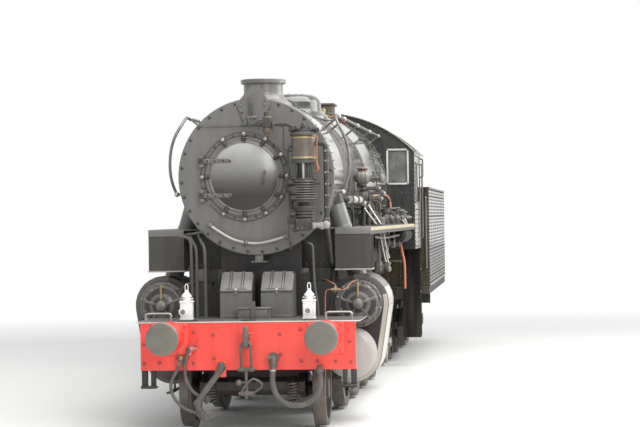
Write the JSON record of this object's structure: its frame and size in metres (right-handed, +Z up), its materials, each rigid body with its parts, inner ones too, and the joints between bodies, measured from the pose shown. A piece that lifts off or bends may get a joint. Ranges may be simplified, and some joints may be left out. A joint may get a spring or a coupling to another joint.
{
  "type": "steam locomotive with bogie tender",
  "caption": "Two-cylinder steam locomotive with leading pony truck, coupled spoked drivers, outside valve gear, enclosed cab and riveted bogie tender.",
  "frame": {"origin": "on the floor under the middle of the length over buffers, midway across; Z = 0 is the bottom of the wheel flanges and the rail head is at Z = 0.028 m", "axes": "+X to the front, along the length; +Y to the driver's left; +Z up"},
  "size_m": [18.59, 2.96, 4.128],
  "materials": {
    "frame_black": "satin, sooty",
    "beam_red": "gloss vermilion",
    "worn_steel": "bare, greased and worn",
    "cylinder_black": "satin",
    "smokebox_grey": "matt, heat-greyed",
    "pump_iron": "oily, with brass bands",
    "boiler_paint": "gloss",
    "brass_fitting": "dulled",
    "cab_paint": "semi-gloss",
    "roof_black": "matt",
    "window_glass": "clear",
    "rod_steel": "oiled",
    "rail_steel": "worn by hands",
    "copper_pipe": "lagged and painted",
    "lamp_white": "gloss",
    "hose_rubber": "ribbed",
    "wheel_steel": "painted, with bright treads",
    "tender_paint": "semi-gloss, riveted"
  },
  "bodies": {
    "engine": {"main_frame": "frame_black", "buffer_beam": "beam_red", "front_platform": "frame_black", "buffers_front": "worn_steel", "coupling_front": "worn_steel", "cylinder_saddle": "cylinder_black", "smokebox": "smokebox_grey", "smokebox_front": "smokebox_grey", "chimney": "smokebox_grey", "air_pump": "pump_iron", "boiler": "boiler_paint", "dome": "boiler_paint", "safety_valves": "brass_fitting", "cab_front": "cab_paint", "cab_sides": "cab_paint", "cab_roof": "roof_black", "cab_floor": "frame_black", "cab_glass": "window_glass", "backhead_controls": "brass_fitting", "running_boards": "frame_black", "running_board_boxes": "cab_paint", "air_tanks": "frame_black", "slide_bars": "rod_steel", "crossheads": "rod_steel", "main_rods": "rod_steel", "eccentric_rods": "rod_steel", "valve_gear": "rod_steel", "handrails": "rail_steel", "boiler_pipes": "copper_pipe", "brake_gear": "frame_black", "ash_pan": "frame_black", "toolboxes": "cab_paint", "oil_lamps": "lamp_white", "vacuum_hose": "hose_rubber", "steam_hose": "hose_rubber", "air_hose_1": "hose_rubber", "air_hose_2": "hose_rubber", "hose_fittings": "worn_steel"},
    "smokebox_door": {"smokebox_door": "smokebox_grey"},
    "toolbox_lid_left": {"toolbox_lid_left": "cab_paint"},
    "toolbox_lid_right": {"toolbox_lid_right": "cab_paint"},
    "pony_truck": {"pony_truck": "frame_black"},
    "pony_wheels": {"pony_wheelset": "wheel_steel"},
    "driver_1": {"driver_1": "wheel_steel"},
    "driver_2": {"driver_2": "wheel_steel"},
    "driver_3": {"driver_3": "wheel_steel"},
    "driver_4": {"driver_4": "wheel_steel"},
    "side_rod_left": {"side_rod_left": "rod_steel"},
    "side_rod_right": {"side_rod_right": "rod_steel"},
    "tender": {"tender_frame": "frame_black", "tender_tank": "tender_paint", "tender_ladders": "rail_steel", "tender_buffers": "worn_steel"},
    "tender_hatch": {"tender_hatch": "tender_paint"},
    "bogie_front": {"bogie_front": "frame_black"},
    "bogie_rear": {"bogie_rear": "frame_black"},
    "tender_wheels_1": {"tender_wheelset_1": "wheel_steel"},
    "tender_wheels_2": {"tender_wheelset_2": "wheel_steel"},
    "tender_wheels_3": {"tender_wheelset_3": "wheel_steel"},
    "tender_wheels_4": {"tender_wheelset_4": "wheel_steel"}
  },
  "joints": [
    {"name": "smokebox_door_swing", "type": "hinge", "parent": "engine", "child": "smokebox_door", "pos_m": [7.843, -0.619, 2.852], "axis": [0, 0, -1], "range_deg": [0, 110]},
    {"name": "toolbox_lid_left_lift", "type": "hinge", "parent": "engine", "child": "toolbox_lid_left", "pos_m": [7.741, 0.234, 1.752], "axis": [0, -1, 0], "range_deg": [0, 100]},
    {"name": "toolbox_lid_right_lift", "type": "hinge", "parent": "engine", "child": "toolbox_lid_right", "pos_m": [7.741, -0.234, 1.752], "axis": [0, -1, 0], "range_deg": [0, 100]},
    {"name": "pony_swivel", "type": "hinge", "parent": "engine", "child": "pony_truck", "pos_m": [6.595, 0, 0.498], "axis": [0, 0, 1], "range_deg": [-3, 3]},
    {"name": "pony_wheels_roll", "type": "hinge", "parent": "pony_truck", "child": "pony_wheels", "pos_m": [8.045, 0, 0.447], "axis": [0, 1, 0], "continuous": true},
    {"name": "tender_yaw", "type": "hinge", "parent": "engine", "child": "tender", "pos_m": [-2.105, 0, 1.058], "axis": [0, 0, 1], "range_deg": [-6, 6]},
    {"name": "tender_hatch_lift", "type": "hinge", "parent": "tender", "child": "tender_hatch", "pos_m": [-8.035, 0, 2.913], "axis": [0, -1, 0], "range_deg": [0, 100]},
    {"name": "bogie_front_swivel", "type": "hinge", "parent": "tender", "child": "bogie_front", "pos_m": [-3.785, 0, 0.998], "axis": [0, 0, 1], "range_deg": [-5, 5]},
    {"name": "bogie_rear_swivel", "type": "hinge", "parent": "tender", "child": "bogie_rear", "pos_m": [-6.875, 0, 0.998], "axis": [0, 0, 1], "range_deg": [-5, 5]},
    {"name": "driver_1_roll", "type": "hinge", "parent": "engine", "child": "driver_1", "pos_m": [5.635, 0, 0.752], "axis": [0, 1, 0], "continuous": true},
    {"name": "driver_2_roll", "type": "hinge", "parent": "engine", "child": "driver_2", "pos_m": [4.06, 0, 0.752], "axis": [0, 1, 0], "continuous": true},
    {"name": "driver_3_roll", "type": "hinge", "parent": "engine", "child": "driver_3", "pos_m": [2.485, 0, 0.752], "axis": [0, 1, 0], "continuous": true},
    {"name": "driver_4_roll", "type": "hinge", "parent": "engine", "child": "driver_4", "pos_m": [0.91, 0, 0.752], "axis": [0, 1, 0], "continuous": true},
    {"name": "side_rod_left_pin", "type": "hinge", "parent": "driver_3", "child": "side_rod_left", "pos_m": [2.485, 0.9325, 0.422], "axis": [0, 1, 0], "continuous": true},
    {"name": "side_rod_right_pin", "type": "hinge", "parent": "driver_3", "child": "side_rod_right", "pos_m": [2.815, -0.9325, 0.752], "axis": [0, 1, 0], "continuous": true},
    {"name": "tender_wheels_1_roll", "type": "hinge", "parent": "bogie_front", "child": "tender_wheels_1", "pos_m": [-2.9085, 0, 0.447], "axis": [0, 1, 0], "continuous": true},
    {"name": "tender_wheels_2_roll", "type": "hinge", "parent": "bogie_front", "child": "tender_wheels_2", "pos_m": [-4.6615, 0, 0.447], "axis": [0, 1, 0], "continuous": true},
    {"name": "tender_wheels_3_roll", "type": "hinge", "parent": "bogie_rear", "child": "tender_wheels_3", "pos_m": [-5.9985, 0, 0.447], "axis": [0, 1, 0], "continuous": true},
    {"name": "tender_wheels_4_roll", "type": "hinge", "parent": "bogie_rear", "child": "tender_wheels_4", "pos_m": [-7.7515, 0, 0.447], "axis": [0, 1, 0], "continuous": true}
  ],
  "couplings": [
    {"joint": "driver_1_roll", "follows": "driver_3_roll", "ratio": 1},
    {"joint": "driver_2_roll", "follows": "driver_3_roll", "ratio": 1},
    {"joint": "driver_4_roll", "follows": "driver_3_roll", "ratio": 1},
    {"joint": "side_rod_left_pin", "follows": "driver_3_roll", "ratio": -1},
    {"joint": "side_rod_right_pin", "follows": "driver_3_roll", "ratio": -1}
  ]
}
